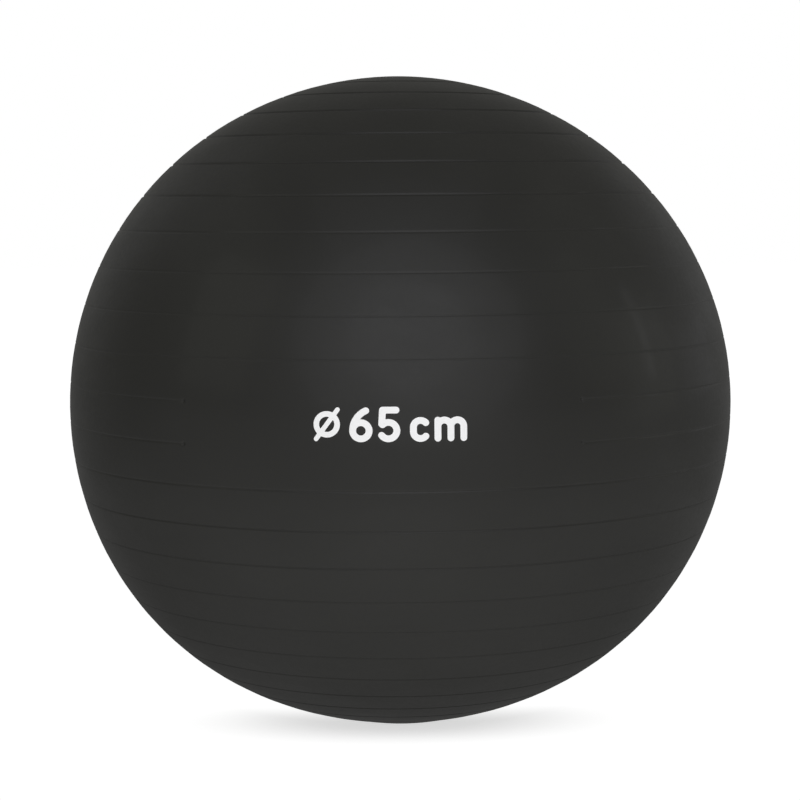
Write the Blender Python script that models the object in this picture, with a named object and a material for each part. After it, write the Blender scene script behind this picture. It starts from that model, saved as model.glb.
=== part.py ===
"""Inflatable exercise ball, 65 cm, with a push-in stopper valve.

Frame: origin at the centre of the small flat patch where the ball rests on the
floor, +Z up, the plain front panel towards -Y, the valve at the back on +Y.
Metres. Azimuth 0 is the front (-Y) and grows towards +X; latitude 0 is the
ball's widest level. Both are in degrees.

Pieces
  ball_shell   the moulded skin, with its rings of shallow grooves and, at the
               back, a recessed cup with a hole for the valve
  valve_seat   soft grommet that lines the hole: outer lip, neck, inner flange
               and a long sleeve that grips the stopper
  valve_plug   the stopper, which pulls straight out along +Y
"""

import math

import bmesh
import bpy
from mathutils import Vector

MM = 0.001
TURN = 2.0 * math.pi

# Skin. The ball sags a little under its own weight, so it is slightly lower
# than it is wide and rests on a flat patch.
EQUATOR_R = 0.325
POLAR_R = 0.3185
PATCH_R = 0.040
WALL = 0.95 * MM
CENTRE_Z = POLAR_R * math.sqrt(1.0 - (PATCH_R / EQUATOR_R) ** 2)
PATCH_LAT = -math.degrees(math.acos(PATCH_R / EQUATOR_R))
CROWN_LATS = (81.5, 85.5)  # plain rings between the top groove and the pole

# Grooves: rings moulded into the skin, numbered upwards, with number 0 just
# above the middle of the front panel. Their spacing opens slowly upwards.
PANEL_LAT = 1.2034  # middle of the plain panels
GROOVE_PITCH = 6.7967
GROOVE_GAIN = 0.04335  # quadratic term that opens the spacing
FIRST_GROOVE, LAST_GROOVE = -13, 10
GROOVE_WIDTH = 2.2 * MM
GROOVE_DEPTH = 0.5 * MM
GROOVE_HALF_ANGLE = math.degrees(0.5 * GROOVE_WIDTH / EQUATOR_R)

# The two grooves that stop short of the plain panels at the front and back
BROKEN_GROOVES = (-1, 0)
FRONT_PANEL_HALF = 32.6
BACK_PANEL_HALF = 12.0
GROOVE_END = 0.3  # half the length of a groove's run-out

COLUMN_STEP = 7.5
COLUMN_CLEARANCE = 0.45 * COLUMN_STEP  # even columns nearer a groove's end are left out

# Opening left in the skin's grid round the valve: one column either side of the
# back, between the whole grooves below and above the broken ones
WINDOW_AZIMUTHS = (180.0 - COLUMN_STEP, 180.0 + COLUMN_STEP)
WINDOW_GROOVES = (BROKEN_GROOVES[0] - 1, BROKEN_GROOVES[1] + 1)

# Valve. Depths are measured inwards from VALVE_Y, the skin's level at the
# valve's axis, and the axis is level.
VALVE_RISE = POLAR_R * math.sin(math.radians(PANEL_LAT))  # above the ball's centre
VALVE_Y = EQUATOR_R * math.cos(math.radians(PANEL_LAT))
SEGMENTS = 32
GAP = 0.3 * MM  # between neighbouring pieces of the valve

# Cup moulded into the skin, with the pad at its bottom
CUP_RIM_R = 20.0 * MM
CUP_RIM_BEVEL_WIDTH = 1.4 * MM
CUP_RIM_BEVEL_DEPTH = 1.7 * MM
CUP_FLOOR_R = 15.4 * MM
CUP_CORNER_WIDTH = 1.2 * MM
CUP_CORNER_HEIGHT = 0.6 * MM
CUP_DEPTH = 4.9 * MM
PAD_THICKNESS = 1.6 * MM
PAD_UNDERSIDE = CUP_DEPTH + PAD_THICKNESS
PAD_HOLE_R = 7.0 * MM
CUP_BACK_R = CUP_RIM_R + 0.2 * MM  # bend on the back of the cup's wall
CUP_BACK_DEPTH = 3.3 * MM
CUP_BACK_RIM_R = CUP_RIM_R + 2.5 * MM  # where that wall meets the inner skin

# Seat. Heights are along the valve's axis: 0 at the skin's level, negative inside.
LIP_R = 9.6 * MM
LIP_THICKNESS = 0.9 * MM
LIP_BOTTOM = -(CUP_DEPTH - GAP)
LIP_TOP = LIP_BOTTOM + LIP_THICKNESS
NECK_R = PAD_HOLE_R - GAP
FLANGE_R = 15.0 * MM
FLANGE_THICKNESS = 2.0 * MM
FLANGE_TOP = -(PAD_UNDERSIDE + GAP)
FLANGE_BOTTOM = FLANGE_TOP - FLANGE_THICKNESS
SEAT_CHAMFER = 0.3 * MM
SLEEVE_R = 6.6 * MM
SLEEVE_END_R = 5.6 * MM
SLEEVE_DEPTH = 30.0 * MM
SLEEVE_TAPER = 4.0 * MM
SLEEVE_FILLET = 1.0 * MM
BORE_R = 4.2 * MM
BORE_MOUTH_WIDTH = 0.6 * MM
BORE_MOUTH_DEPTH = 0.8 * MM

# Plug
HEAD_R = 10.0 * MM
HEAD_THICKNESS = 2.4 * MM
HEAD_BOTTOM = LIP_TOP + GAP
HEAD_TOP = HEAD_BOTTOM + HEAD_THICKNESS
HEAD_CHAMFER = 0.6 * MM  # lower edge
# Rounded upper edge of the head: (in from its side, down from its top)
HEAD_EDGE = ((0.0, 0.8 * MM), (0.4 * MM, 0.25 * MM), (1.2 * MM, 0.0))
STEM_R = 3.2 * MM
STEM_DEPTH = 26.9 * MM
TIP_R = 2.2 * MM
TIP_TAPER = 1.5 * MM
SEAL_R = BORE_R - 0.1 * MM
SEAL_COUNT = 3
FIRST_SEAL_DEPTH = 9.5 * MM
SEAL_PITCH = 5.0 * MM
SEAL_HALF = 1.3 * MM
SEAL_CREST_HALF = 0.35 * SEAL_HALF
PLUG_BORE_R = 1.5 * MM
PLUG_BORE_END_DEPTH = 8.9 * MM  # the bore's closed end, nearest the head

# Edges bent by more than these degrees are shaded sharp
SHELL_SHARP_ANGLE = 40.0
VALVE_SHARP_ANGLE = 35.0


# ---- Shared helpers ----

def remove_everything():
    for obj in list(bpy.data.objects):
        bpy.data.objects.remove(obj, do_unlink=True)


def plain_material(name, colour, roughness):
    material = bpy.data.materials.new(name)
    material.use_nodes = True
    shader = material.node_tree.nodes["Principled BSDF"]
    shader.inputs["Base Color"].default_value = (*colour, 1.0)
    shader.inputs["Roughness"].default_value = roughness
    material.diffuse_color = (*colour, 1.0)
    return material


def object_from(builder, name, material, parent, sharp_angle):
    """Turn the finished bmesh into a smooth-shaded object."""
    mesh = bpy.data.meshes.new(name)
    builder.to_mesh(mesh)
    builder.free()
    mesh.materials.append(material)
    mesh.shade_smooth()
    mesh.set_sharp_from_angle(angle=math.radians(sharp_angle))
    obj = bpy.data.objects.new(name, mesh)
    bpy.context.scene.collection.objects.link(obj)
    obj.parent = parent
    return obj


def band(builder, first, second):
    """Quads between two rings with the same number of vertices."""
    for i in range(len(first)):
        following = (i + 1) % len(first)
        builder.faces.new((first[i], first[following], second[following], second[i]))


# ---- Skin: points are about the ball's centre ----

def groove_latitude(number):
    steps = number + 0.5
    return PANEL_LAT + GROOVE_PITCH * steps + GROOVE_GAIN * steps * steps


def groove_depth(number, azimuth):
    """Depth of a groove's middle: 0 where a broken groove crosses a plain panel."""
    if number in BROKEN_GROOVES:
        from_front = abs((azimuth + 180.0) % 360.0 - 180.0)
        from_back = 180.0 - from_front
        if from_front < FRONT_PANEL_HALF or from_back < BACK_PANEL_HALF:
            return 0.0
    return GROOVE_DEPTH


def skin_point(latitude, azimuth, inset):
    """A point of the skin, `inset` below its surface."""
    latitude, azimuth = math.radians(latitude), math.radians(azimuth)
    level_radius = (EQUATOR_R - inset) * math.cos(latitude)
    return Vector(
        (
            level_radius * math.sin(azimuth),
            -level_radius * math.cos(azimuth),
            (POLAR_R - inset) * math.sin(latitude),
        )
    )


def column_azimuths():
    """Even steps, and a close pair of columns at each groove end."""
    ends = []
    for middle, half in ((0.0, FRONT_PANEL_HALF), (180.0, BACK_PANEL_HALF)):
        for side in (-half, half):
            for run_out in (-GROOVE_END, GROOVE_END):
                ends.append((middle + side + run_out) % 360.0)
    even = [index * COLUMN_STEP for index in range(round(360.0 / COLUMN_STEP))]
    clear = [
        azimuth
        for azimuth in even
        if min(abs(azimuth - end) for end in ends) > COLUMN_CLEARANCE
    ]
    return sorted(clear + ends)


def skin_stations():
    """Rows of the outer and inner skins, upwards, as (latitude, groove number).
    The number is None where the row isn't sunk into a groove."""
    outer = [(PATCH_LAT, None)]
    inner = [(PATCH_LAT, None)]
    for number in range(FIRST_GROOVE, LAST_GROOVE + 1):
        latitude = groove_latitude(number)
        outer.append((latitude - GROOVE_HALF_ANGLE, None))
        outer.append((latitude, number))
        outer.append((latitude + GROOVE_HALF_ANGLE, None))
        inner.append((latitude, None))
    crown = [(latitude, None) for latitude in CROWN_LATS]
    return outer + crown, inner + crown


def add_skin(builder, stations, azimuths, inset, inwards):
    """A skin from the patch to the pole, left open at the valve. Returns the edge
    of its opening, as (angle about the valve's axis, vertex)."""
    rings = []
    for latitude, number in stations:
        ring = []
        for azimuth in azimuths:
            drop = groove_depth(number, azimuth) if number is not None else 0.0
            ring.append(builder.verts.new(skin_point(latitude, azimuth, inset + drop)))
        rings.append(ring)

    latitudes = [latitude for latitude, _ in stations]
    bottom, top = (latitudes.index(groove_latitude(number)) for number in WINDOW_GROOVES)
    low, high = (azimuths.index(azimuth) for azimuth in WINDOW_AZIMUTHS)

    def face(*corners):
        builder.faces.new(corners[::-1] if inwards else corners)

    pole = builder.verts.new(skin_point(90.0, 0.0, inset))
    for col in range(len(azimuths)):
        following = (col + 1) % len(azimuths)
        for row, (lower, upper) in enumerate(zip(rings, rings[1:])):
            if not (bottom <= row < top and low <= col < high):
                face(lower[col], lower[following], upper[following], upper[col])
        face(rings[-1][col], rings[-1][following], pole)
    face(*reversed(rings[0]))

    edge = rings[bottom][low:high]
    edge += [rings[row][high] for row in range(bottom, top)]
    edge += rings[top][high:low:-1]
    edge += [rings[row][low] for row in range(top, bottom, -1)]
    for row in range(bottom + 1, top):
        for col in range(low + 1, high):
            builder.verts.remove(rings[row][col])
    return sorted(((valve_angle(v.co), v) for v in edge), key=lambda item: item[0])


# ---- Cup: rings about the valve's axis, joined to both skins ----

def valve_angle(point):
    """Angle about the valve's axis, seen from outside the ball."""
    return math.atan2(point.z - VALVE_RISE, -point.x)


def skin_y(x, z, inset):
    """How far out the back of the skin lies at this place."""
    across, up = x / (EQUATOR_R - inset), z / (POLAR_R - inset)
    return (EQUATOR_R - inset) * math.sqrt(1.0 - across * across - up * up)


def valve_loop(builder, radius, depth=None, inset=0.0):
    """A loop of (angle, vertex) about the valve's axis, at a depth, or on the
    skin at `inset` where no depth is given."""
    loop = []
    for index in range(SEGMENTS):
        angle = -math.pi + (index + 0.5) * TURN / SEGMENTS
        x = -radius * math.cos(angle)
        z = VALVE_RISE + radius * math.sin(angle)
        y = skin_y(x, z, inset) if depth is None else VALVE_Y - depth
        loop.append((angle, builder.verts.new((x, y, z))))
    return loop


def stitch(builder, first, second):
    """Triangles between two loops of (angle, vertex) that run the same way round
    but may differ in count. Each step advances the loop whose next angle is lower."""

    def angle_after(loop, i):
        return loop[(i + 1) % len(loop)][0] + TURN * ((i + 1) // len(loop))

    def vertex(loop, i):
        return loop[i % len(loop)][1]

    i = j = 0
    while i < len(first) or j < len(second):
        here, there = vertex(first, i), vertex(second, j)
        first_is_next = angle_after(first, i) <= angle_after(second, j)
        if j == len(second) or (i < len(first) and first_is_next):
            i += 1
            builder.faces.new((here, vertex(first, i), there))
        else:
            j += 1
            builder.faces.new((here, vertex(second, j), there))


def add_cup(builder, outer_edge, inner_edge):
    """Over the rim, down the wall, across the pad to the hole, through it, and
    back along the pad's underside to the inner skin."""
    corner_r = CUP_FLOOR_R + CUP_CORNER_WIDTH
    loops = [
        valve_loop(builder, CUP_RIM_R),
        valve_loop(builder, CUP_RIM_R - CUP_RIM_BEVEL_WIDTH, CUP_RIM_BEVEL_DEPTH),
        valve_loop(builder, corner_r, CUP_DEPTH - CUP_CORNER_HEIGHT),
        valve_loop(builder, CUP_FLOOR_R, CUP_DEPTH),
        valve_loop(builder, PAD_HOLE_R, CUP_DEPTH),
        valve_loop(builder, PAD_HOLE_R, PAD_UNDERSIDE),
        valve_loop(builder, corner_r, PAD_UNDERSIDE),
        valve_loop(builder, CUP_BACK_R, CUP_BACK_DEPTH),
        valve_loop(builder, CUP_BACK_RIM_R, inset=WALL),
    ]
    stitch(builder, outer_edge, loops[0])
    rings = [[vertex for _, vertex in loop] for loop in loops]
    for first, second in zip(rings, rings[1:]):
        band(builder, first, second)
    stitch(builder, loops[-1], inner_edge)


def make_shell(material, parent):
    azimuths = column_azimuths()
    outer, inner = skin_stations()
    builder = bmesh.new()
    outer_edge = add_skin(builder, outer, azimuths, inset=0.0, inwards=False)
    inner_edge = add_skin(builder, inner, azimuths, inset=WALL, inwards=True)
    add_cup(builder, outer_edge, inner_edge)
    shell = object_from(builder, "ball_shell", material, parent, SHELL_SHARP_ANGLE)
    shell.location = (0.0, 0.0, CENTRE_Z)


# ---- Seat and plug: turned about the valve's axis ----

def make_turned(name, profile, material, parent, closed):
    """A valve piece turned about its own Z, which points out of the ball. The
    (radius, z) points run up its outside and down its inside. Unless closed, the
    profile begins and ends on the axis."""
    builder = bmesh.new()
    rings = []
    for radius, z in profile:
        ring = []
        for index in range(SEGMENTS if radius > 0.0 else 1):
            angle = (index + 0.5) * TURN / SEGMENTS
            point = (radius * math.cos(angle), radius * math.sin(angle), z)
            ring.append(builder.verts.new(point))
        rings.append(ring)
    pairs = list(zip(rings, rings[1:]))
    if closed:
        pairs.append((rings[-1], rings[0]))
    for first, second in pairs:
        if len(first) == len(second):
            band(builder, first, second)
            continue
        for i in range(SEGMENTS):
            following = (i + 1) % SEGMENTS
            if len(first) == 1:
                builder.faces.new((first[0], second[following], second[i]))
            else:
                builder.faces.new((first[i], first[following], second[0]))
    obj = object_from(builder, name, material, parent, VALVE_SHARP_ANGLE)
    obj.location = (0.0, VALVE_Y, CENTRE_Z + VALVE_RISE)
    obj.rotation_euler = (-0.5 * math.pi, 0.0, 0.0)


def make_seat(material, parent):
    profile = [
        (BORE_R, -SLEEVE_DEPTH),
        (SLEEVE_END_R, -SLEEVE_DEPTH),
        (SLEEVE_R, -SLEEVE_DEPTH + SLEEVE_TAPER),
        (SLEEVE_R, FLANGE_BOTTOM - SLEEVE_FILLET),
        (SLEEVE_R + SLEEVE_FILLET, FLANGE_BOTTOM),
        (FLANGE_R - SEAT_CHAMFER, FLANGE_BOTTOM),
        (FLANGE_R, FLANGE_BOTTOM + SEAT_CHAMFER),
        (FLANGE_R, FLANGE_TOP),
        (NECK_R, FLANGE_TOP),
        (NECK_R, LIP_BOTTOM),
        (LIP_R, LIP_BOTTOM),
        (LIP_R, LIP_TOP - SEAT_CHAMFER),
        (LIP_R - SEAT_CHAMFER, LIP_TOP),
        (BORE_R + BORE_MOUTH_WIDTH, LIP_TOP),
        (BORE_R, LIP_TOP - BORE_MOUTH_DEPTH),
    ]
    make_turned("valve_seat", profile, material, parent, closed=True)


def make_plug(material, parent):
    """A flat head, a stem with sealing rings, and a blind bore up its middle."""
    profile = [
        (0.0, -PLUG_BORE_END_DEPTH),
        (PLUG_BORE_R, -PLUG_BORE_END_DEPTH),
        (PLUG_BORE_R, -STEM_DEPTH),
        (TIP_R, -STEM_DEPTH),
        (STEM_R, -STEM_DEPTH + TIP_TAPER),
    ]
    for index in reversed(range(SEAL_COUNT)):
        middle = -(FIRST_SEAL_DEPTH + index * SEAL_PITCH)
        profile += [
            (STEM_R, middle - SEAL_HALF),
            (SEAL_R, middle - SEAL_CREST_HALF),
            (SEAL_R, middle + SEAL_CREST_HALF),
            (STEM_R, middle + SEAL_HALF),
        ]
    profile += [
        (STEM_R, HEAD_BOTTOM),
        (HEAD_R - HEAD_CHAMFER, HEAD_BOTTOM),
        (HEAD_R, HEAD_BOTTOM + HEAD_CHAMFER),
    ]
    profile += [(HEAD_R - inwards, HEAD_TOP - down) for inwards, down in HEAD_EDGE]
    profile.append((0.0, HEAD_TOP))
    make_turned("valve_plug", profile, material, parent, closed=False)


def main():
    remove_everything()
    skin = plain_material("skin_pvc", colour=(0.022, 0.022, 0.021), roughness=0.5)
    soft = plain_material("seat_pvc", colour=(0.020, 0.020, 0.020), roughness=0.45)
    white = plain_material("plug_plastic", colour=(0.78, 0.78, 0.76), roughness=0.4)

    root = bpy.data.objects.new("exercise_ball", None)
    bpy.context.scene.collection.objects.link(root)
    make_shell(skin, root)
    make_seat(soft, root)
    make_plug(white, root)


main()
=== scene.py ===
"""Looks for the inflatable exercise ball: the fine skin with its grooves, the
printed size mark, the valve seat and stopper, their materials, and the studio.

Lengths are metres in the part's frame: +Z up, the plain front panel towards -Y,
the valve on +Y. Azimuth 0 is the front (-Y) and grows towards +X. Latitude 0 is
the ball's widest level. Angles are degrees. Tables of small sizes are in mm.
"""

import math

import bpy
import numpy as np
from mathutils import Matrix, Vector


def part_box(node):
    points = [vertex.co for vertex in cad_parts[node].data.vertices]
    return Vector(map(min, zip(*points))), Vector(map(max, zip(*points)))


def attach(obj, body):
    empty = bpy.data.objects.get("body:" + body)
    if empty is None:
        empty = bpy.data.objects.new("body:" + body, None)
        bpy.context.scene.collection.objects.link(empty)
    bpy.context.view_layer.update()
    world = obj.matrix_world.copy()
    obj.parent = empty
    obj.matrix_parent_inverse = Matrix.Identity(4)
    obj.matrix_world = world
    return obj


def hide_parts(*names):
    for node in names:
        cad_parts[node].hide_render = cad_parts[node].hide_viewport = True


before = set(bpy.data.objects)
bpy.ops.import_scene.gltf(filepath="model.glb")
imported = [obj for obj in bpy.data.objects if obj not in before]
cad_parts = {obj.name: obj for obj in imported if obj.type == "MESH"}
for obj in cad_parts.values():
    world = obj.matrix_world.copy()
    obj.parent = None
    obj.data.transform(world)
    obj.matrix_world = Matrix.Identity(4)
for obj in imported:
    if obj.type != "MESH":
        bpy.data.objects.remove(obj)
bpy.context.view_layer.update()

MM = 0.001

# ---------------------------------------------------------------- sizes from the CAD frame
SHELL_LOW, SHELL_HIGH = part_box("ball_shell")
SEAT_LOW, SEAT_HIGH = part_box("valve_seat")
PLUG_LOW, PLUG_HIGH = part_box("valve_plug")

EQUATOR_R = round(0.5 * (SHELL_HIGH.x - SHELL_LOW.x), 3)
POLAR_R = 0.98 * EQUATOR_R
RADII = np.array([EQUATOR_R, EQUATOR_R, POLAR_R])
CENTRE_Z = SHELL_HIGH.z - POLAR_R
FLOOR_Z = SHELL_LOW.z
PATCH_R = EQUATOR_R * math.sqrt(1.0 - ((CENTRE_Z - FLOOR_Z) / POLAR_R) ** 2)  # on the floor
WALL = 1.6 * MM
END_WALL = 0.95 * MM  # at the floor and at the top

VALVE_X = 0.5 * (PLUG_LOW.x + PLUG_HIGH.x)
VALVE_Z = 0.5 * (PLUG_LOW.z + PLUG_HIGH.z)
PANEL_LAT = math.degrees(math.asin((VALVE_Z - CENTRE_Z) / POLAR_R))
VALVE_Y = EQUATOR_R * math.cos(math.radians(PANEL_LAT))

DEGREE = math.radians(1.0) * EQUATOR_R  # length of one degree on the skin
MM_ANGLE = math.degrees(MM / EQUATOR_R)  # degrees that one mm spans on the skin

# ---------------------------------------------------------------- skin
# Degrees between grooves, and how the spacing changes away from the panels
GROOVE_PITCH, GROOVE_GAIN = 6.7967, 0.04335
FIRST_GROOVE, LAST_GROOVE = -13, 10
# The skin is stretched most round the middle, which draws the grooves shallow
# there; towards the top they keep the mould's depth.
# (latitude, half width in mm, depth in mm)
GROOVE_SECTIONS = (
    (-60.0, 1.35, 0.52),
    (-12.0, 1.4, 0.58),
    (-2.0, 1.4, 0.48),
    (11.0, 1.4, 0.31),
    (26.0, 1.5, 0.27),
    (33.0, 1.7, 0.44),
    (41.0, 1.9, 0.74),
    (48.0, 1.9, 0.85),
    (55.0, 1.9, 1.10),
    (63.0, 1.9, 1.25),
)
LAND_CROWN = 0.12 * MM  # how far the skin swells between two grooves
BROKEN_GROOVES = (-1, 0)  # these stop at the plain panels
FRONT_PANEL_HALF, BACK_PANEL_HALF = 32.6, 12.0
GROOVE_RUN_IN = 0.35  # degrees either side of a panel's end
CROWN_RUN_IN = 9.0  # degrees beyond a panel's end
END_DOT_R = 2.6 * MM
END_DOT_DEPTH = 1.3 * MM

# Soft hollows and swellings that every inflated ball has: (latitude, azimuth,
# spread in degrees, height in metres)
UNEVENNESS = (
    (-50.0, -88.0, 15.0, 2.4 * MM),
    (-33.0, -88.0, 12.0, 1.1 * MM),
    (-34.0, 78.0, 18.0, 0.9 * MM),
    (8.0, -92.0, 16.0, -0.9 * MM),
    (34.0, -72.0, 18.0, 0.6 * MM),
    (56.0, -90.0, 15.0, 0.9 * MM),
    (82.0, -20.0, 14.0, 1.0 * MM),
    (50.0, 96.0, 18.0, -0.6 * MM),
    (-77.0, 12.0, 14.0, -2.1 * MM),
    (-60.0, 60.0, 12.0, -0.7 * MM),
    (-20.0, 160.0, 24.0, 0.7 * MM),
    (24.0, 215.0, 20.0, -0.5 * MM),
)
CALM_FLOOR = (-82.8, -75.5)  # latitudes over which the unevenness sets in
CALM_VALVE = (6.0, 14.0)  # degrees from the valve over which it sets in


def groove_latitude(number):
    steps = number + 0.5
    return PANEL_LAT + GROOVE_PITCH * steps + GROOVE_GAIN * steps * steps


def smooth(x, low, high):
    t = np.clip((x - low) / (high - low), 0.0, 1.0)
    return t * t * (3.0 - 2.0 * t)


def from_front(azimuth):
    return np.abs((azimuth + 180.0) % 360.0 - 180.0)


def bump(distance, half_width):
    """1 at 0, falling smoothly to 0 at half_width."""
    x = np.clip(np.abs(distance) / half_width, 0.0, 1.0)
    return 0.5 * (1.0 + np.cos(math.pi * x))


def off_panels(azimuth, inside, outside):
    """0 on the plain panels and 1 beyond them, changing from `inside` degrees
    within a panel's end to `outside` degrees past it."""
    front = from_front(azimuth)
    past_front = smooth(front, FRONT_PANEL_HALF - inside, FRONT_PANEL_HALF + outside)
    past_back = smooth(180.0 - front, BACK_PANEL_HALF - inside, BACK_PANEL_HALF + outside)
    return past_front * past_back


def groove_section(latitude):
    """Half width and depth of a groove at this latitude, in metres."""
    at, widths, depths = zip(*GROOVE_SECTIONS)
    return np.interp(latitude, at, widths) * MM, np.interp(latitude, at, depths) * MM


def relief(latitude, azimuth):
    """How deep the skin's surface lies below the plain ball, in metres."""
    depth = np.zeros(np.broadcast(latitude, azimuth).shape)
    for number in range(FIRST_GROOVE, LAST_GROOVE + 1):
        across = (latitude - groove_latitude(number)) * DEGREE
        half_width, full_depth = groove_section(groove_latitude(number))
        groove = full_depth * bump(across, half_width)
        if number in BROKEN_GROOVES:
            groove = groove * off_panels(azimuth, GROOVE_RUN_IN, GROOVE_RUN_IN)
            for end in (FRONT_PANEL_HALF, 180.0 - BACK_PANEL_HALF):
                along = (from_front(azimuth) - end) * DEGREE
                reach = np.hypot(along, across)
                groove = np.maximum(groove, END_DOT_DEPTH * bump(reach, END_DOT_R))
        depth = np.maximum(depth, groove)
    return depth


def crown(latitude, azimuth):
    """The slight swell of each band of skin between two grooves."""
    swell = np.zeros(np.broadcast(latitude, azimuth).shape)
    for number in range(FIRST_GROOVE, LAST_GROOVE):
        low, high = groove_latitude(number), groove_latitude(number + 1)
        t = (latitude - low) / (high - low)
        inside = (t > 0.0) & (t < 1.0)
        band = np.where(inside, np.sin(math.pi * np.clip(t, 0.0, 1.0)) ** 2, 0.0)
        if number in BROKEN_GROOVES or number + 1 in BROKEN_GROOVES:
            band = band * off_panels(azimuth, 0.0, CROWN_RUN_IN)
        swell += band
    return LAND_CROWN * swell


def direction(latitude, azimuth):
    lat, az = np.radians(latitude), np.radians(azimuth)
    return np.stack(
        np.broadcast_arrays(np.cos(lat) * np.sin(az), -np.cos(lat) * np.cos(az), np.sin(lat)), -1
    )


def degrees_between(here, there):
    return np.degrees(np.arccos(np.clip(here @ there, -1.0, 1.0)))


def unevenness(latitude, azimuth):
    here = direction(latitude, azimuth)
    total = np.zeros(here.shape[:-1])
    for lat, az, spread, height in UNEVENNESS:
        away = degrees_between(here, direction(lat, az))
        total += height * np.exp(-0.5 * (away / spread) ** 2)
    from_valve = degrees_between(here, direction(PANEL_LAT, 180.0))
    return total * smooth(np.asarray(latitude), *CALM_FLOOR) * smooth(from_valve, *CALM_VALVE)


def skin_normals(latitude, azimuth):
    normals = direction(latitude, azimuth) / RADII
    return normals / np.linalg.norm(normals, axis=-1, keepdims=True)


def skin(latitude, azimuth, inset=0.0, detailed=True):
    """Points of the skin in the part's frame, for arrays of degrees."""
    latitude, azimuth = np.broadcast_arrays(
        np.asarray(latitude, float), np.asarray(azimuth, float)
    )
    lift = unevenness(latitude, azimuth) - inset
    if detailed:
        lift = lift + crown(latitude, azimuth) - relief(latitude, azimuth)
    points = direction(latitude, azimuth) * RADII
    points = points + skin_normals(latitude, azimuth) * lift[..., None]
    points[..., 2] += CENTRE_Z
    return points


def lifted_skin(latitude, azimuth, height):
    normals = skin_normals(latitude, azimuth)
    return skin(latitude, azimuth) + normals * np.asarray(height)[..., None]


def skin_y(x, z, inset=0.0):
    """How far out the plain back of the skin lies at this place."""
    across = x / (EQUATOR_R - inset)
    up = (z - CENTRE_Z) / (POLAR_R - inset)
    return (EQUATOR_R - inset) * math.sqrt(1.0 - across * across - up * up)


# ---------------------------------------------------------------- mesh helpers
class Mesh:
    """Collects points and faces, and makes the object."""

    def __init__(self):
        self.points, self.faces = [], []

    def add(self, points):
        start = len(self.points)
        self.points.extend(tuple(float(c) for c in p) for p in points)
        return list(range(start, len(self.points)))

    def band(self, first, second):
        """Quads between two closed loops of the same count."""
        count = len(first)
        for i in range(count):
            k = (i + 1) % count
            self.faces.append((first[i], first[k], second[k], second[i]))

    def fan(self, loop, apex, flip=False):
        count = len(loop)
        for i in range(count):
            face = (loop[i], loop[(i + 1) % count], apex)
            self.faces.append(face[::-1] if flip else face)

    def stitch(self, first, second):
        """Triangles between two loops of (angle, point), running the same way round."""

        def next_angle(loop, i):
            turns, place = divmod(i + 1, len(loop))
            return loop[place][0] + 2.0 * math.pi * turns

        i, j = 0, 0
        while i < len(first) or j < len(second):
            a, b = first[i % len(first)][1], second[j % len(second)][1]
            first_is_next = next_angle(first, i) <= next_angle(second, j)
            if j == len(second) or (i < len(first) and first_is_next):
                i += 1
                self.faces.append((a, first[i % len(first)][1], b))
            else:
                j += 1
                self.faces.append((a, second[j % len(second)][1], b))

    def build(self, name, material):
        """The finished object, without the points that no face uses."""
        used = sorted({i for face in self.faces for i in face})
        place = {old: new for new, old in enumerate(used)}
        mesh = bpy.data.meshes.new(name)
        mesh.from_pydata(
            [self.points[i] for i in used], [], [[place[i] for i in f] for f in self.faces]
        )
        mesh.validate()
        mesh.materials.append(material)
        mesh.shade_smooth()
        obj = bpy.data.objects.new(name, mesh)
        bpy.context.scene.collection.objects.link(obj)
        return obj


FILLET_STEPS = 5


def rounded(corners, closed=False):
    """A polyline of (radius, height, fillet) corners with each corner rounded off."""
    out = []
    count = len(corners)
    for index, (x, y, fillet) in enumerate(corners):
        here = np.array([x, y])
        if fillet <= 0.0 or (not closed and index in (0, count - 1)):
            out.append(here)
            continue
        before = np.array(corners[index - 1][:2]) - here
        after = np.array(corners[(index + 1) % count][:2]) - here
        before_length, after_length = np.linalg.norm(before), np.linalg.norm(after)
        back, ahead = before / before_length, after / after_length
        half = 0.5 * math.acos(max(-1.0, min(1.0, float(back @ ahead))))
        if half > math.radians(89.0):  # all but straight
            out.append(here)
            continue
        reach = min(fillet / math.tan(half), 0.48 * before_length, 0.48 * after_length)
        radius = reach * math.tan(half)
        middle = here + (back + ahead) / np.linalg.norm(back + ahead) * radius / math.sin(half)
        start, end = here + back * reach - middle, here + ahead * reach - middle
        total = math.acos(max(-1.0, min(1.0, float(start @ end) / radius**2)))
        for k in range(FILLET_STEPS + 1):
            t = k / FILLET_STEPS
            from_start = math.sin((1.0 - t) * total) / math.sin(total)
            from_end = math.sin(t * total) / math.sin(total)
            out.append(middle + from_start * start + from_end * end)
    return [(float(p[0]), float(p[1])) for p in out]


VALVE_SEGMENTS = 96


def about_valve(radius, angle):
    """x and z of a place round the valve's axis; the angle starts at -X."""
    return VALVE_X - radius * math.cos(angle), VALVE_Z + radius * math.sin(angle)


# ---------------------------------------------------------------- the skin's mesh
GROOVE_RINGS = (-1.45, -0.95, -0.6, -0.28, 0.0, 0.28, 0.6, 0.95, 1.45)  # half widths across
END_DOT_RINGS = (2.0, 2.7)  # further half widths, for the round pits at grooves' ends
LAND_RINGS = 2
TOP_RINGS = (79.3, 81.2, 83.1, 85.0, 86.6, 88.0, 89.2)  # latitudes
EDGE_DROPS = (4.0, 2.8, 1.4)  # degrees below the lowest groove's rings
PATCH_RINGS = (0.2, 0.5, 0.8, 0.93, 0.98, 1.02, 1.07, 1.13)  # in patch radii
PATCH_EDGE = 0.9  # in patch radii: outside it the skin may rise from the floor
PATCH_SOFTNESS = 0.12 * MM

COLUMN_STEP = 4.0 / 3.0
FINE_COLUMNS = (-3.4, -2.2, -1.4, -0.7, 0.0, 0.7, 1.4, 2.2, 3.4)  # mm beside a groove's end
COLUMN_CLEARANCE = 0.3  # degrees between an even column and a fine one

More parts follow.
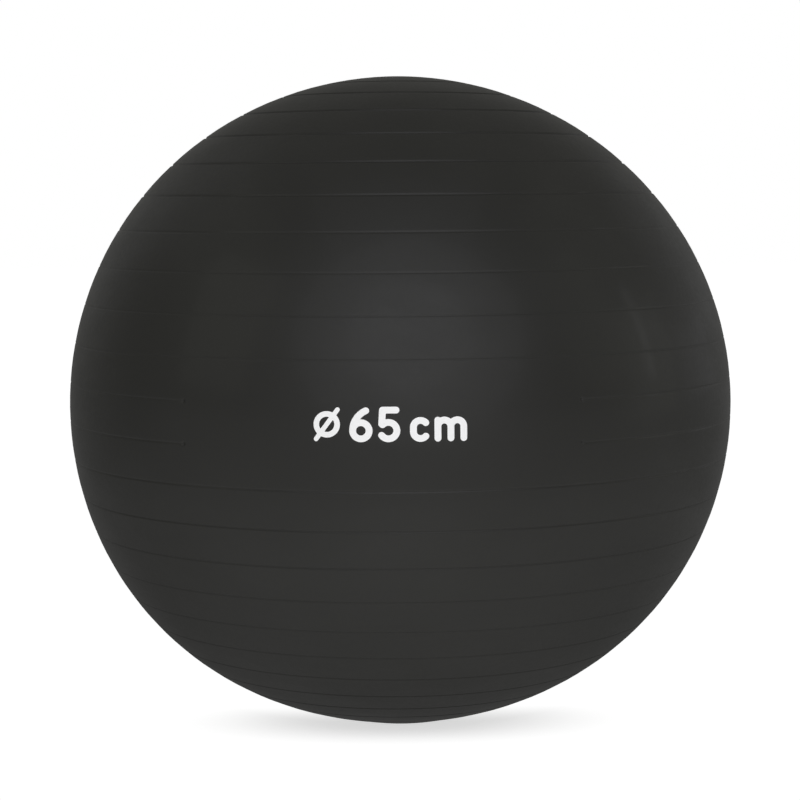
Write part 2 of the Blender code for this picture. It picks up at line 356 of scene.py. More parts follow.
INNER_RINGS = np.array([-81.0, *np.linspace(-78.0, 84.0, 55), 87.0])
INNER_COLUMNS = np.arange(0.0, 360.0, 5.0)

# Half the opening left for the valve: (azimuth, latitude) in degrees
OUTER_WINDOW, INNER_WINDOW = (6.4, 6.4), (10.0, 8.0)

# The seat's rim lies on the cup's pad; its flange lies under it. Sizes in mm.
SEAT_RIM = 0.9
SEAT_GAP = 0.3
CUP_LIP_R = 17.0  # outside it the cup leaves its level floor for the ball's curve
CUP_LIP_START, CUP_LIP_END = -0.2, 2.2  # depths over which it does so


def ring_latitudes():
    lats = []
    for number in range(FIRST_GROOVE, LAST_GROOVE + 1):
        here, above = groove_latitude(number), groove_latitude(number + 1)
        step = groove_section(here)[0] / MM * MM_ANGLE
        lats += [here + offset * step for offset in GROOVE_RINGS]
        if number in BROKEN_GROOVES:
            lats += [here + side * offset * step for offset in END_DOT_RINGS for side in (-1, 1)]
        if number < LAST_GROOVE:
            low = here + GROOVE_RINGS[-1] * step
            high = above + GROOVE_RINGS[0] * groove_section(above)[0] / MM * MM_ANGLE
            lats += [low + (high - low) * (k + 1) / (LAND_RINGS + 1) for k in range(LAND_RINGS)]
    lats += TOP_RINGS
    return np.array(sorted(lats))


def column_azimuths():
    """Even columns, with fine ones in their place at the broken grooves' ends."""
    base = np.arange(0.0, 360.0, COLUMN_STEP)
    ends = []
    for middle, half in ((0.0, FRONT_PANEL_HALF), (180.0, BACK_PANEL_HALF)):
        for side in (-half, half):
            ends += [(middle + side + offset * MM_ANGLE) % 360.0 for offset in FINE_COLUMNS]
    ends = np.array(ends)
    gaps = np.abs((base[:, None] - ends[None, :] + 180.0) % 360.0 - 180.0).min(1)
    return np.sort(np.concatenate([base[gaps > COLUMN_CLEARANCE], ends]))


def valve_window(lats, azimuths, halves, rows_below):
    """The opening in a grid, as its first and last columns and rows."""
    half_azimuth, half_latitude = halves
    low, high = (
        int(np.argmin(np.abs(azimuths - edge)))
        for edge in (180.0 - half_azimuth, 180.0 + half_azimuth)
    )
    rows = [i for i, lat in enumerate(lats) if abs(lat - PANEL_LAT) < half_latitude]
    return low, high, rows[0] + rows_below, rows[-1] + rows_below


def grid_faces(mesh, rings, window, flip=False):
    """Quads between the rings, except in the window."""
    low, high, bottom, top = window
    count = len(rings[0])
    for row in range(len(rings) - 1):
        for col in range(count):
            if bottom <= row < top and low <= col < high:
                continue
            after = (col + 1) % count
            face = (
                rings[row][col], rings[row][after], rings[row + 1][after], rings[row + 1][col]
            )
            mesh.faces.append(face[::-1] if flip else face)


def window_edge(mesh, rings, window):
    """The opening's boundary as (angle about the valve, point), in order."""
    low, high, bottom, top = window
    edge = rings[bottom][low:high]
    edge += [rings[row][high] for row in range(bottom, top)]
    edge += rings[top][high:low:-1]
    edge += [rings[row][low] for row in range(top, bottom, -1)]
    found = []
    for i in edge:
        x, _, z = mesh.points[i]
        found.append((math.atan2(z - VALVE_Z, VALVE_X - x), i))
    return sorted(found)


def outer_skin(mesh):
    """The grooved outside. Returns the edge of its valve opening."""
    lats, azimuths = ring_latitudes(), column_azimuths()
    rings = [mesh.add(row) for row in skin(lats[:, None], azimuths[None, :])]

    # Under the lowest groove the skin rolls into the flat patch on the floor
    az = np.radians(azimuths)
    edge_lats = lats[0] - np.array(EDGE_DROPS)
    below = [mesh.add(row) for row in skin(edge_lats[:, None], azimuths[None, :])]
    patch = []
    for fraction in PATCH_RINGS:
        radius = fraction * PATCH_R
        z = FLOOR_Z
        if fraction > PATCH_EDGE:
            rise = CENTRE_Z - POLAR_R * math.sqrt(1.0 - (radius / EQUATOR_R) ** 2) - FLOOR_Z
            z += 0.5 * (rise + math.hypot(rise, PATCH_SOFTNESS))
        ring = np.stack([radius * np.sin(az), -radius * np.cos(az), np.full(len(az), z)], -1)
        patch.append(mesh.add(ring))
    rings = patch + below + rings
    mesh.fan(rings[0], mesh.add([(0.0, 0.0, FLOOR_Z)])[0], flip=True)
    mesh.fan(rings[-1], mesh.add(skin([90.0], [0.0]))[0])

    window = valve_window(lats, azimuths, OUTER_WINDOW, len(patch) + len(below))
    grid_faces(mesh, rings, window)
    return window_edge(mesh, rings, window)


def inner_skin(mesh):
    """The plain inside. Returns the edge of its valve opening."""
    grid = skin(INNER_RINGS[:, None], INNER_COLUMNS[None, :], WALL, detailed=False)
    rings = [mesh.add(row) for row in grid]
    radius = PATCH_EDGE * PATCH_R
    inside_floor = FLOOR_Z + END_WALL
    floor_ring = mesh.add(
        [
            (radius * math.sin(angle), -radius * math.cos(angle), inside_floor)
            for angle in map(math.radians, INNER_COLUMNS)
        ]
    )
    rings = [floor_ring] + rings
    mesh.fan(rings[0], mesh.add([(0.0, 0.0, inside_floor)])[0])
    mesh.fan(rings[-1], mesh.add(skin([90.0], [0.0], END_WALL, detailed=False))[0], flip=True)
    window = valve_window(INNER_RINGS, INNER_COLUMNS, INNER_WINDOW, rows_below=1)
    grid_faces(mesh, rings, window, flip=True)
    return window_edge(mesh, rings, window)


def valve_cup(mesh, outer_edge, inner_edge):
    """From the skin over the cup's rim, down to the pad and through the hole,
    then back along the underside."""
    floor = VALVE_Y - (SEAT_HIGH.y - SEAT_RIM * MM - SEAT_GAP * MM)
    pad, under = floor / MM, (floor + WALL) / MM
    # (radius, depth inwards from VALVE_Y, fillet) in mm
    profile = rounded(
        [
            (22.6, -0.4, 0.0),
            (19.9, 0.55, 2.0),
            (16.9, pad, 1.5),
            (12.2, pad, 0.0),
            (11.9, pad - 0.25, 0.25),
            (11.2, pad - 0.25, 0.25),
            (10.9, pad, 0.0),
            (7.0, pad, 0.3),
            (7.0, under, 0.2),
            (16.8, under, 1.2),
            (20.4, 3.4, 2.0),
            (24.0, 2.4, 0.0),
        ]
    )
    angles = [
        -math.pi + (i + 0.5) * 2.0 * math.pi / VALVE_SEGMENTS for i in range(VALVE_SEGMENTS)
    ]
    loops = []
    for index, (radius, depth) in enumerate(profile):
        loop = []
        for angle in angles:
            x, z = about_valve(radius * MM, angle)
            y = VALVE_Y - depth * MM
            if index == 0:
                y = skin_y(x, z)
            elif index == len(profile) - 1:
                y = skin_y(x, z, WALL)
            elif radius > CUP_LIP_R and depth < CUP_LIP_END:
                # between the ball's curve and the cup's level floor
                blend = (depth - CUP_LIP_START) / (CUP_LIP_END - CUP_LIP_START)
                blend = min(1.0, max(0.0, blend))
                y = (skin_y(x, z) - max(0.0, depth) * MM) * (1.0 - blend) + y * blend
            loop.append((x, y, z))
        loops.append(mesh.add(loop))
    mesh.stitch(outer_edge, list(zip(angles, loops[0])))
    for first, second in zip(loops, loops[1:]):
        mesh.band(first, second)
    mesh.stitch(list(zip(angles, loops[-1])), inner_edge)


def make_skin(material):
    mesh = Mesh()
    outer_edge = outer_skin(mesh)
    inner_edge = inner_skin(mesh)
    valve_cup(mesh, outer_edge, inner_edge)
    return mesh.build("skin", material)


# ---------------------------------------------------------------- turned pieces
def turned(name, profile, material):
    """A piece turned about the valve's axis from (radius, y) points in mm that
    run outwards along its outside and inwards along its bore. A point at radius 0
    closes it on the axis."""
    mesh = Mesh()
    loops = []
    for radius, y in profile:
        radius, y = radius * MM, y * MM
        if radius < 1e-7:
            loops.append(mesh.add([(VALVE_X, y, VALVE_Z)]))
            continue
        loop = []
        for i in range(VALVE_SEGMENTS):
            x, z = about_valve(radius, 2.0 * math.pi * (i + 0.5) / VALVE_SEGMENTS)
            loop.append((x, y, z))
        loops.append(mesh.add(loop))
    pairs = list(zip(loops, loops[1:]))
    if len(loops[0]) > 1:
        pairs.append((loops[-1], loops[0]))
    for first, second in pairs:
        if len(first) == 1:
            mesh.fan(second, first[0], flip=True)
        elif len(second) == 1:
            mesh.fan(first, second[0])
        else:
            mesh.band(first, second)
    return mesh.build(name, material)


def make_seat(material):
    """A sleeve with a rim over the cup's pad and a flange under it."""
    top, low = SEAT_HIGH.y / MM, SEAT_LOW.y / MM
    rim = top - SEAT_RIM
    flange = rim - SEAT_GAP - WALL / MM - SEAT_GAP
    # (radius, y, fillet) in mm
    corners = [
        (4.2, low, 0.3),
        (5.6, low, 0.6),
        (6.6, low + 4.0, 2.0),
        (6.6, flange - 3.0, 0.8),
        (14.9, flange - 2.0, 0.5),
        (14.9, flange, 0.3),
        (6.7, flange, 0.2),
        (6.7, rim, 0.1),
        (9.5, rim, 0.3),
        (9.5, top, 0.35),
        (4.9, top, 0.4),
        (4.2, rim, 0.4),
    ]
    return turned("seat", rounded(corners, closed=True), material)


def make_plug(material):
    """A stem with three ribs and a bore open at its tip, under a dished head."""
    top, tip = PLUG_HIGH.y / MM, PLUG_LOW.y / MM
    head = top - 2.4  # the head's underside
    dish = top - 0.95
    button = top - 0.25
    dimple = top - 0.65
    level = VALVE_Y / MM
    bore_end = level - 8.9
    stem_r, rib_r, rib_half = 3.15, 4.1, 1.35
    # (radius, y, fillet) in mm
    corners = [(0.0, bore_end, 0.0), (1.5, bore_end, 0.5), (1.5, tip, 0.2)]
    corners += [(2.3, tip, 0.35), (3.1, tip + 1.7, 0.8)]
    for depth in (19.5, 14.5, 9.5):
        rib = level - depth
        corners += [(stem_r, rib - rib_half, 0.35), (rib_r, rib, 0.45)]
        corners += [(stem_r, rib + rib_half, 0.35)]
    corners += [
        (3.2, head, 0.5),
        (8.9, head, 0.2),
        (9.95, head + 0.7, 0.5),
        (9.95, top - 0.9, 0.7),
        (8.7, top - 0.02, 0.6),
        (7.4, top, 0.3),
        (6.7, dish, 0.35),
        (3.2, dish, 0.4),
        (2.6, button, 0.35),
        (1.5, button, 0.25),
        (1.1, dimple, 0.25),
        (0.0, dimple, 0.0),
    ]
    return turned("stopper", rounded(corners), material)


# ---------------------------------------------------------------- the printed size mark
# A diameter sign and the nominal size, drawn with a round pen. Drawing units are
# mm before the mark is scaled to MARK_WIDTH; x runs right, y up.
PEN = 6.0
DRAWING_HEIGHT = 31.5
DRAWING_MARGIN = 1.0
# Arcs are (centre x, centre y, radius, start, end, pen), lines (x0, y0, x1, y1, pen),
# each from its glyph's left side.
GLYPHS = (
    {  # diameter sign
        "width": 25.2,
        "gap": 7.6,
        "arcs": [(12.6, 15.75, 9.3, 0.0, 360.0, 5.0)],
        "lines": [(3.0, 2.6, 22.2, 28.9, 4.2)],
    },
    {  # 6
        "width": 20.4,
        "gap": 4.0,
        "arcs": [(10.0, 10.2, 7.2, 0.0, 360.0, PEN), (22.3, 10.2, 19.5, 114.0, 180.0, PEN)],
        "lines": [],
    },
    {  # 5
        "width": 20.0,
        "gap": 8.4,
        "arcs": [(9.7, 10.3, 7.3, -145.0, 134.0, PEN)],
        "lines": [(4.6, 28.5, 16.4, 28.5, PEN), (4.6, 28.5, 3.9, 16.2, PEN)],
    },
    {  # c
        "width": 17.2,
        "gap": 4.2,
        "arcs": [(9.2, 12.9, 6.2, 42.0, 180.0, PEN), (9.2, 9.2, 6.2, 180.0, 318.0, PEN)],
        "lines": [(3.0, 12.9, 3.0, 9.2, PEN)],
    },
    {  # m
        "width": 14.4 + 11.4 + 3.0,
        "gap": 0.0,
        "arcs": [(stem + 5.7, 13.4, 5.7, 0.0, 180.0, PEN) for stem in (3.0, 14.4)],
        "lines": [(3.0, 3.0, 3.0, 19.1, PEN)]
        + [(stem + 11.4, 13.4, stem + 11.4, 3.0, PEN) for stem in (3.0, 14.4)],
    },
)
DRAWING_WIDTH = sum(glyph["width"] + glyph["gap"] for glyph in GLYPHS)

MARK_AZIMUTH = 1.8
MARK_RISE = 0.5  # degrees above the panel's middle
MARK_WIDTH = 133.0  # mm
INK = 0.07 * MM
INK_ROOT = 0.1 * MM  # how far the ink reaches into the skin
INK_EDGE, INK_EDGE_WIDTH = 0.35, 0.6  # share of full height at the edge; slope in drawing mm
INK_CELL = 0.55
LEAST_DISTANCE = 0.01  # keeps outlines off the grid's corners


def line_distance(x, y, x0, y0, x1, y1):
    dx, dy = x1 - x0, y1 - y0
    t = np.clip(((x - x0) * dx + (y - y0) * dy) / (dx * dx + dy * dy), 0.0, 1.0)
    return np.hypot(x - x0 - t * dx, y - y0 - t * dy)


def arc_distance(x, y, centre_x, centre_y, radius, start, end):
    x, y = x - centre_x, y - centre_y
    angle = (np.degrees(np.arctan2(y, x)) - start) % 360.0
    on_arc = np.abs(np.hypot(x, y) - radius)
    tips = [
        np.hypot(x - radius * math.cos(tip), y - radius * math.sin(tip))
        for tip in (math.radians(start), math.radians(end))
    ]
    return np.where(angle <= end - start, on_arc, np.minimum(*tips))


def mark_distance(x, y):
    """Distance to the nearest stroke's edge in drawing units, negative inside the ink."""
    nearest = np.full(x.shape, np.inf)
    left = 0.0
    for glyph in GLYPHS:
        for kind, distance in (("arcs", arc_distance), ("lines", line_distance)):
            for *shape, pen in glyph[kind]:
                nearest = np.minimum(nearest, distance(x - left, y, *shape) - 0.5 * pen)
        left += glyph["width"] + glyph["gap"]
    return nearest


def outline_cells(values, xs, ys):
    """Marching squares: the polygons of the area where values are below 0."""
    points, index = [], {}

    def corner(i, j):
        key = (i, j)
        if key not in index:
            index[key] = len(points)
            points.append((xs[i], ys[j]))
        return index[key]

    def crossing(a, b):
        key = (a, b) if a < b else (b, a)
        if key not in index:
            first, last = values[key[0]], values[key[1]]
            t = min(0.98, max(0.02, first / (first - last)))
            (i0, j0), (i1, j1) = key
            index[key] = len(points)
            points.append((xs[i0] + t * (xs[i1] - xs[i0]), ys[j0] + t * (ys[j1] - ys[j0])))
        return index[key]

    polygons = []
    for i in range(len(xs) - 1):
        for j in range(len(ys) - 1):
            corners = [(i, j), (i + 1, j), (i + 1, j + 1), (i, j + 1)]
            inside = [values[c] < 0.0 for c in corners]
            if not any(inside):
                continue
            polygon = []
            for k in range(4):
                here, after = corners[k], corners[(k + 1) % 4]
                if inside[k]:
                    polygon.append(corner(*here))
                if inside[k] != inside[(k + 1) % 4]:
                    polygon.append(crossing(here, after))
            if sum(inside) == 2 and inside[0] == inside[2]:
                # two opposite corners: cut into two triangles, so that edges stay clean
                for k in (0, 2) if inside[0] else (1, 3):
                    before, here, after = corners[k - 1], corners[k], corners[(k + 1) % 4]
                    polygons.append(
                        [crossing(before, here), corner(*here), crossing(here, after)]
                    )
                continue
            polygons.append(polygon)
    return points, polygons


def make_mark(material):
    """A thin sheet of ink that follows the skin, closed below its surface."""
    far = DRAWING_MARGIN + INK_CELL
    xs = np.arange(-DRAWING_MARGIN, DRAWING_WIDTH + far, INK_CELL)
    ys = np.arange(-DRAWING_MARGIN, DRAWING_HEIGHT + far, INK_CELL)
    values = mark_distance(*np.meshgrid(xs, ys, indexing="ij"))
    values = np.where(np.abs(values) < LEAST_DISTANCE, -LEAST_DISTANCE, values)
    flat, polygons = outline_cells(values, xs, ys)

    mesh = Mesh()
    x, y = np.array(flat).T
    unit = np.degrees(MARK_WIDTH / DRAWING_WIDTH * MM / EQUATOR_R)
    azimuths = MARK_AZIMUTH + (x - 0.5 * DRAWING_WIDTH) * unit
    lats = PANEL_LAT + MARK_RISE + (y - 0.5 * DRAWING_HEIGHT) * unit
    full = smooth(-mark_distance(x, y), 0.0, INK_EDGE_WIDTH)
    top = mesh.add(lifted_skin(lats, azimuths, INK * (INK_EDGE + (1.0 - INK_EDGE) * full)))
    bottom = mesh.add(lifted_skin(lats, azimuths, np.full(len(lats), -INK_ROOT)))
    edges = {}  # a dict, to keep the edges in order
    for polygon in polygons:
        mesh.faces.append(tuple(top[i] for i in polygon))
        mesh.faces.append(tuple(bottom[i] for i in reversed(polygon)))
        edges.update(dict.fromkeys(zip(polygon, polygon[1:] + polygon[:1])))
    for a, b in edges:
        if (b, a) not in edges:
            mesh.faces.append((top[b], top[a], bottom[a], bottom[b]))
    return mesh.build("size_mark", material)


# ---------------------------------------------------------------- materials
FALLING = (1.0, 0.0)


class Nodes:
    """Small helper for building a node tree."""

    def __init__(self, tree):
        self.tree = tree

    def new(self, kind, inputs=None, **settings):
        node = self.tree.nodes.new(kind)
        for key, value in settings.items():
            setattr(node, key, value)
        self.fill(node, inputs or {})
        return node

    def fill(self, node, inputs):
        """Links or sets inputs by name or number; colours are given as RGB."""
        for key, value in inputs.items():
            socket = node.inputs[key]
            if isinstance(value, bpy.types.NodeSocket):
                self.tree.links.new(value, socket)
            elif socket.type == "RGBA":
                socket.default_value = (*value, 1.0)
            else:
                socket.default_value = value

    def by_ray(self, lighting, seen):
        """One shader for camera rays and another for all the rest."""
        camera_ray = self.new("ShaderNodeLightPath").outputs["Is Camera Ray"]
        inputs = {"Fac": camera_ray, 1: lighting.outputs[0], 2: seen.outputs[0]}
        return self.new("ShaderNodeMixShader", inputs).outputs[0]


class MaterialNodes(Nodes):
    """A new material's nodes. Patterns lie in the object's or the origin's frame."""

    def __init__(self, name, origin=None):
        self.material = bpy.data.materials.new(name)
        self.material.use_nodes = True
        super().__init__(self.material.node_tree)
        self.shader = self.tree.nodes["Principled BSDF"]
        self.output = self.tree.nodes["Material Output"]
        self.coords = self.new("ShaderNodeTexCoord", object=origin).outputs["Object"]

    def noise(self, scale, detail=2.0, rough=0.5, stretch=(1.0, 1.0, 1.0), shift=(0.0, 0.0, 0.0)):
        place = self.new(
            "ShaderNodeMapping", {"Vector": self.coords, "Location": shift, "Scale": stretch}
        ).outputs["Vector"]
        inputs = {"Scale": scale, "Detail": detail, "Roughness": rough, "Vector": place}
        return self.new("ShaderNodeTexNoise", inputs).outputs["Fac"]

    def remap(self, source, over=(0.3, 0.7), to=(0.0, 1.0)):
        inputs = {"Value": source, "From Min": over[0], "From Max": over[1]}
        inputs |= {"To Min": to[0], "To Max": to[1]}
        node = self.new("ShaderNodeMapRange", inputs, interpolation_type="SMOOTHSTEP")
        return node.outputs["Result"]

    def maths(self, operation, a, b=0.0):
        return self.new("ShaderNodeMath", {0: a, 1: b}, operation=operation).outputs[0]

    def hypot(self, a, b):
        squares = [self.maths("POWER", side, 2.0) for side in (a, b)]
        return self.maths("SQRT", self.maths("ADD", *squares))

    def mix(self, factor, a, b):
        """Mixes colours; 6, 7 and output 2 are the node's colour sockets."""
        inputs = {"Factor": factor, 6: a, 7: b}
        return self.new("ShaderNodeMix", inputs, data_type="RGBA").outputs[2]

    def bumped(self, *layers):
        """Bump from (height source, height in metres) layers."""
        total = None
        for source, height in layers:
            part = self.maths("MULTIPLY", source, height)
            total = part if total is None else self.maths("ADD", total, part)
        node = self.new("ShaderNodeBump", {"Strength": 1.0, "Distance": 1.0, "Height": total})
        self.fill(self.shader, {"Normal": node.outputs["Normal"]})


def skin_material():
    n = MaterialNodes("matte_black_pvc")
    tone = n.noise(scale=5.0, detail=3.0)
    base = n.mix(n.remap(tone), (0.0086, 0.0085, 0.0071), (0.0098, 0.0097, 0.0082))
    # a trace of pale dust, in fine specks that gather in soft patches
    specks = n.noise(scale=900.0, detail=1.0, shift=(8.0, 2.0, 5.0))
    patches = n.noise(scale=9.0, shift=(1.0, 6.0, 2.0))
    dust = n.maths(
        "MULTIPLY", n.remap(specks, over=(0.66, 0.74)), n.remap(patches, over=(0.45, 0.7))
    )
    dust = n.maths("MULTIPLY", dust, 0.25)
    base = n.mix(dust, base, (0.05, 0.05, 0.048))

    # handling marks: soft smears that are slightly smoother, and a fine mottle
    smears = n.noise(
        scale=14.0, detail=4.0, rough=0.6, stretch=(1.0, 1.0, 2.4), shift=(4.0, 9.0, 3.0)
    )
    fine = n.noise(scale=260.0, detail=3.0, rough=0.6, shift=(3.1, 0.7, 1.9))
    rough = n.remap(smears, over=(0.35, 0.7), to=(0.515, 0.475))
    rough = n.maths("ADD", rough, n.remap(fine, to=(-0.02, 0.02)))
    rough = n.maths("ADD", rough, n.maths("MULTIPLY", dust, 0.2))
    n.fill(n.shader, {"Base Color": base, "Roughness": rough, "IOR": 1.40})
    # the faint polish under the matte
    n.fill(n.shader, {"Coat Weight": 0.08, "Coat Roughness": 0.15})

    grain = n.noise(scale=1100.0, rough=0.55)
    peel = n.noise(scale=170.0, shift=(2.0, 4.0, 6.0))
    waves = n.noise(scale=11.0, detail=1.0, shift=(7.0, 3.0, 1.0))
    n.bumped((grain, 0.020 * MM), (peel, 0.035 * MM), (waves, 0.45 * MM))
    return n.material


def ink_material():
    n = MaterialNodes("white_ink")
    tone = n.noise(scale=60.0, detail=3.0, rough=0.6)
    base = n.mix(n.remap(tone), (0.96, 0.96, 0.96), (0.98, 0.98, 0.98))
    pinholes = n.noise(scale=1500.0, detail=1.0, shift=(5.0, 1.0, 2.0))
    pinholes = n.remap(pinholes, over=(0.72, 0.78), to=(0.0, 0.35))
    base = n.mix(pinholes, base, (0.35, 0.35, 0.35))
    rough = n.remap(n.noise(scale=120.0), to=(0.42, 0.52))
    n.fill(n.shader, {"Base Color": base, "Roughness": rough})
    n.bumped((n.noise(scale=900.0, rough=0.55), 0.008 * MM))
    return n.material


def seat_material():
    n = MaterialNodes("seat_pvc")
    base = n.mix(n.remap(n.noise(scale=90.0)), (0.012, 0.012, 0.012), (0.019, 0.019, 0.018))
    rough = n.remap(n.noise(scale=300.0), to=(0.33, 0.45))
    n.fill(n.shader, {"Base Color": base, "Roughness": rough})
    n.bumped((n.noise(scale=1400.0, rough=0.55), 0.010 * MM))
    return n.material


def stopper_material():
    n = MaterialNodes("stopper_plastic")
    tone = n.noise(scale=110.0, detail=3.0, rough=0.55)
    base = n.mix(n.remap(tone), (0.66, 0.66, 0.635), (0.73, 0.73, 0.71))
    grime = n.noise(scale=420.0, rough=0.6, shift=(3.0, 3.0, 8.0))
    grime = n.remap(grime, over=(0.58, 0.8), to=(0.0, 0.10))
    base = n.mix(grime, base, (0.42, 0.41, 0.38))
    rough = n.remap(n.noise(scale=260.0), to=(0.32, 0.46))
    n.fill(n.shader, {"Base Color": base, "Roughness": rough})
    n.bumped((n.noise(scale=1300.0, detail=1.0), 0.003 * MM))
    return n.material


# ---------------------------------------------------------------- studio
CAMERA_AZIMUTH = 3.4
CAMERA_DISTANCE = 6.9473 * EQUATOR_R
CAMERA_ELEVATION = 5.2066  # where it stands, seen from the ball's centre
CAMERA_PITCH = 5.185  # how far it looks down
CAMERA_ROLL = -0.494
CAMERA_LENS = 102.23

COOL, WARM, PLAIN = (0.995, 1.0, 1.05), (0.988, 1.0, 0.91), (0.99, 1.0, 1.10)
SOFTBOXES = (
    # name, azimuth, elevation, distance, width, height, radiance, colour, round
    ("key", 3.6, 26.0, 1.95, 1.3, 1.3, 0.678, COOL, True),
    ("key_wide", 3.6, 25.5, 2.1, 3.0, 2.8, 0.844, COOL, True),
    ("left_front", -62.0, 25.0, 2.0, 0.9, 1.3, 0.616, WARM),
    ("left_high", -85.0, 45.0, 1.8, 0.9, 0.8, 0.175, WARM),
    ("right", 88.0, 10.0, 1.8, 0.7, 0.8, 0.48, WARM),
    ("right_high", 85.0, 45.0, 1.8, 0.9, 0.8, 0.215, WARM),
    ("right_front", 66.0, 25.0, 2.0, 0.7, 1.3, 0.352, WARM),
    ("right_strip", 86.0, 17.0, 1.6, 0.03, 0.62, 4.7, COOL),
    ("top_front", 0.0, 68.0, 1.8, 1.4, 0.8, 0.245, PLAIN),
    ("top", 0.0, 85.0, 1.8, 1.4, 1.4, 0.10, WARM),
    ("top_left", -100.0, 65.0, 1.8, 1.0, 1.0, 0.07, WARM),
    ("top_right", 100.0, 65.0, 1.8, 1.0, 1.0, 0.09, WARM),
    ("left_back", -130.0, 20.0, 1.8, 1.0, 0.9, 0.070, PLAIN),
    ("right_back", 130.0, 20.0, 1.8, 1.0, 0.9, 0.11, PLAIN),
    ("left_back_high", -120.0, 45.0, 1.8, 0.9, 0.7, 0.08, PLAIN),
    ("right_back_low", 115.0, 5.0, 1.8, 0.7, 0.4, 0.26, PLAIN),
)
WORLD_LIGHT = 0.248
WORLD_COLOUR = (1.005, 1.0, 0.948)
WHITE = (1.0, 1.0, 1.0)

FLOOR_HALF = 14.0
FLOOR_GAP = 0.4 * MM  # between the floor and the ball
FLOOR_LIFT = 0.645  # painted glow on the floor that lightens the ball's shadow
FLOOR_WHITE = 1.03  # its glow outside the shadow
GLOW_LEAST = 0.099  # what the floor sends up to the ball everywhere


def make_camera():
    azimuth, elevation = math.radians(CAMERA_AZIMUTH), math.radians(CAMERA_ELEVATION)
    pitch, roll = math.radians(CAMERA_PITCH), math.radians(CAMERA_ROLL)
    middle = Vector((0.0, 0.0, CENTRE_Z))
    outwards = Vector((math.sin(azimuth), -math.cos(azimuth), 0.0))
    level = Vector((math.cos(azimuth), math.sin(azimuth), 0.0))
    forward = -outwards * math.cos(pitch) + Vector((0.0, 0.0, -math.sin(pitch)))
    up = -outwards * math.sin(pitch) + Vector((0.0, 0.0, math.cos(pitch)))
    x_axis = math.cos(roll) * level + math.sin(roll) * up
    y_axis = -math.sin(roll) * level + math.cos(roll) * up
    data = bpy.data.cameras.new("camera")
    data.lens, data.sensor_width = CAMERA_LENS, 36.0
    data.clip_start, data.clip_end = 0.05, 100.0
    camera = bpy.data.objects.new("camera", data)
    bpy.context.scene.collection.objects.link(camera)
    camera.matrix_world = Matrix(
        [[x_axis[i], y_axis[i], -forward[i], 0.0] for i in range(3)] + [[0.0, 0.0, 0.0, 1.0]]
    )
    camera.location = (
        middle
        + outwards * CAMERA_DISTANCE * math.cos(elevation)
        + Vector((0.0, 0.0, CAMERA_DISTANCE * math.sin(elevation)))
    )
    bpy.context.scene.camera = camera
    return camera


def make_rig(camera):
    """The lights stand round the ball and face it from the camera's side, so that
    the ball is lit in the same way from wherever it is seen."""
    rig = bpy.data.objects.new("light_rig", None)
    bpy.context.scene.collection.objects.link(rig)
    rig.location = (0.0, 0.0, CENTRE_Z)
    follow = rig.constraints.new("LOCKED_TRACK")
    follow.target = camera
    follow.track_axis = "TRACK_NEGATIVE_Y"
    follow.lock_axis = "LOCK_Z"
    return rig


def softbox(
    rig, name, azimuth, elevation, distance, width, height, radiance, colour, is_round=False
):
    place = distance * Vector(direction(elevation, azimuth))
    data = bpy.data.lights.new(name, "AREA")
    data.shape = "ELLIPSE" if is_round else "RECTANGLE"
    data.size, data.size_y = width, height
    area = width * height * (0.25 * math.pi if is_round else 1.0)
    data.energy = radiance * math.pi * area
    data.color = colour
    light = bpy.data.objects.new(name, data)
    bpy.context.scene.collection.objects.link(light)
    light.parent = rig
    light.location = place
    light.rotation_mode = "QUATERNION"
    light.rotation_quaternion = (-place).to_track_quat("-Z", "Y")
    light.visible_camera = False


def make_world():
    """A dim surround that lights the ball, behind it pure white."""
    world = bpy.data.worlds.new("studio")
    bpy.context.scene.world = world
    world.use_nodes = True
    n = Nodes(world.node_tree)
    n.tree.nodes.clear()
    around, behind = (
        n.new("ShaderNodeBackground", {"Color": colour, "Strength": strength})
        for colour, strength in ((WORLD_COLOUR, WORLD_LIGHT), (WHITE, 1.0))
    )
    n.new("ShaderNodeOutputWorld", {"Surface": n.by_ray(lighting=around, seen=behind)})


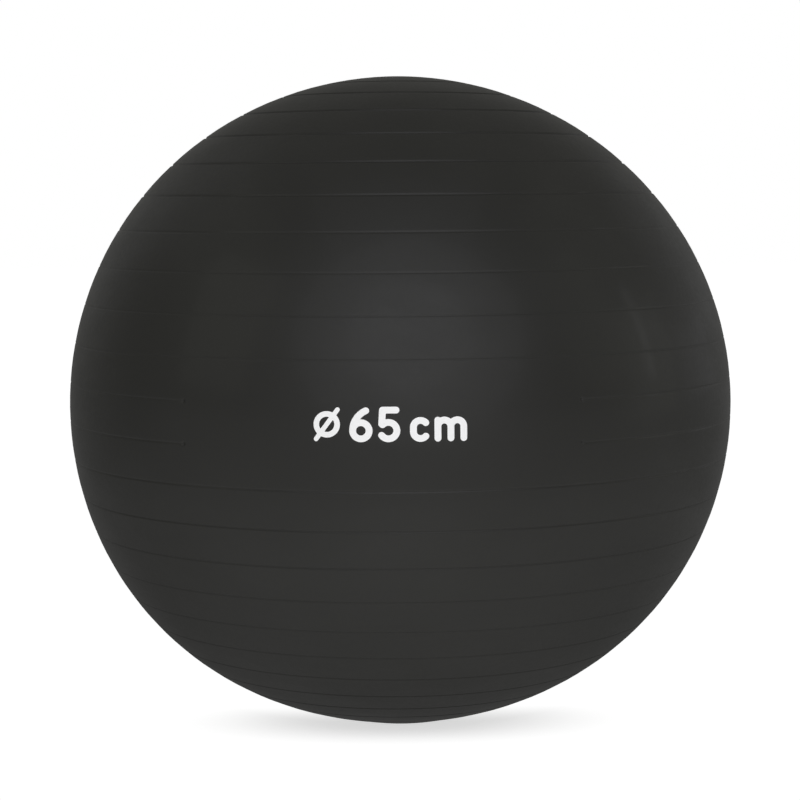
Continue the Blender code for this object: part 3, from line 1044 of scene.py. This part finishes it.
def floor_material(rig):
    """Laid out in the rig's frame: -Y towards the camera, +X to its right."""
    n = MaterialNodes("studio_floor", origin=rig)
    split = n.new("ShaderNodeSeparateXYZ", {0: n.coords})
    x, y = split.outputs["X"], split.outputs["Y"]

    def oval(half_x, half_y, middle_y):
        """0 in the oval's middle and 1 on its edge."""
        along = n.maths("DIVIDE", n.maths("SUBTRACT", y, middle_y), half_y)
        return n.hypot(n.maths("DIVIDE", x, half_x), along)

    def between(value, rise, fall):
        return n.maths("MULTIPLY", n.remap(value, over=rise), n.remap(value, fall, FALLING))

    # What the camera sees: white paper that takes the ball's rendered shadow near where it
    # stands, lightened by an even painted glow. Oval masks paint where that shadow ends and fade
    # it into a pure white glow further away. A low camera sees only the dark core of the shadow,
    # a high one its wide soft part too.
    n.fill(
        n.shader,
        {
            "Base Color": (0.86, 0.86, 0.86),
            "Roughness": 0.9,
            "Specular IOR Level": 0.0,
            "Emission Color": WHITE,
            "Emission Strength": FLOOR_LIFT,
        },
    )
    core = n.maths(
        "MAXIMUM",
        n.remap(oval(half_x=0.26, half_y=0.115, middle_y=-0.03), over=(0.25, 1.0)),
        n.remap(y, over=(-0.04, 0.05)),
    )
    wide = n.remap(oval(half_x=1.0, half_y=1.0, middle_y=0.0), over=(0.35, 0.85))
    incoming = n.new("ShaderNodeNewGeometry").outputs["Incoming"]
    looking = n.new("ShaderNodeSeparateXYZ", {0: incoming})
    high = n.remap(looking.outputs["Z"], over=(0.28, 0.42))
    open_floor = n.maths(
        "ADD",
        n.maths("MULTIPLY", high, wide),
        n.maths("MULTIPLY", n.maths("SUBTRACT", 1.0, high), core),
    )
    # the pure white glow that the oval masks paint over the shadow's outskirts
    white = n.new("ShaderNodeEmission", {"Strength": FLOOR_WHITE})
    seen = n.new(
        "ShaderNodeMixShader", {"Fac": open_floor, 1: n.shader.outputs[0], 2: white.outputs[0]}
    )

    # What lights the ball from below: bright under the key light, dim behind
    reach = n.hypot(x, y)
    front = n.remap(y, (-0.5, 0.0), FALLING)
    beside = between(y, rise=(-0.5, 0.0), fall=(0.1, 0.5))
    near_ring = between(reach, rise=(0.05, 0.25), fall=(0.35, 0.6))
    far_ring = between(reach, rise=(0.35, 0.6), fall=(0.7, 1.1))
    pool = oval(half_x=0.30, half_y=0.26, middle_y=-0.62)
    total = GLOW_LEAST
    for strength, part in (
        (0.427, n.remap(y, (-0.9, 0.3), FALLING)),  # towards the front
        (0.142, n.remap(x, (-0.9, 0.0), FALLING)),  # left
        (0.155, n.remap(x, (0.0, 0.9))),  # right
        (0.595, n.maths("MULTIPLY", front, near_ring)),
        (0.371, n.maths("MULTIPLY", front, far_ring)),
        (0.340, n.remap(pool, (0.0, 1.0), FALLING)),
        (0.105, n.maths("MULTIPLY", beside, n.remap(x, (-0.9, -0.2), FALLING))),
        (0.200, n.maths("MULTIPLY", beside, n.remap(x, (0.2, 0.9)))),
    ):
        total = n.maths("ADD", n.maths("MULTIPLY", part, strength), total)
    glow = n.new("ShaderNodeEmission", {"Color": (1.0, 1.0, 0.985), "Strength": total})
    n.fill(n.output, {"Surface": n.by_ray(lighting=glow, seen=seen)})
    return n.material


def make_floor(rig):
    mesh = bpy.data.meshes.new("floor")
    signs = ((-1, -1), (1, -1), (1, 1), (-1, 1))
    corners = [(x * FLOOR_HALF, y * FLOOR_HALF, 0.0) for x, y in signs]
    mesh.from_pydata(corners, [], [(0, 1, 2, 3)])
    floor = bpy.data.objects.new("floor", mesh)
    bpy.context.scene.collection.objects.link(floor)
    floor.location = (0.0, 0.0, FLOOR_Z - FLOOR_GAP)
    mesh.materials.append(floor_material(rig))


# ---------------------------------------------------------------- assembly
skin_piece = make_skin(skin_material())
seat_piece = make_seat(seat_material())
stopper_piece = make_plug(stopper_material())
mark_piece = make_mark(ink_material())

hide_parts("ball_shell")
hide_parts("valve_seat")
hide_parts("valve_plug")
for piece, body, slot in (
    (skin_piece, "ball", "skin"),
    (mark_piece, "ball", "print"),
    (seat_piece, "ball", "seat"),
    (stopper_piece, "plug", "plug"),
):
    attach(piece, body)

make_world()
light_rig = make_rig(make_camera())
make_floor(light_rig)
for entry in SOFTBOXES:
    softbox(light_rig, *entry)

bpy.context.scene.view_settings.view_transform = "Standard"
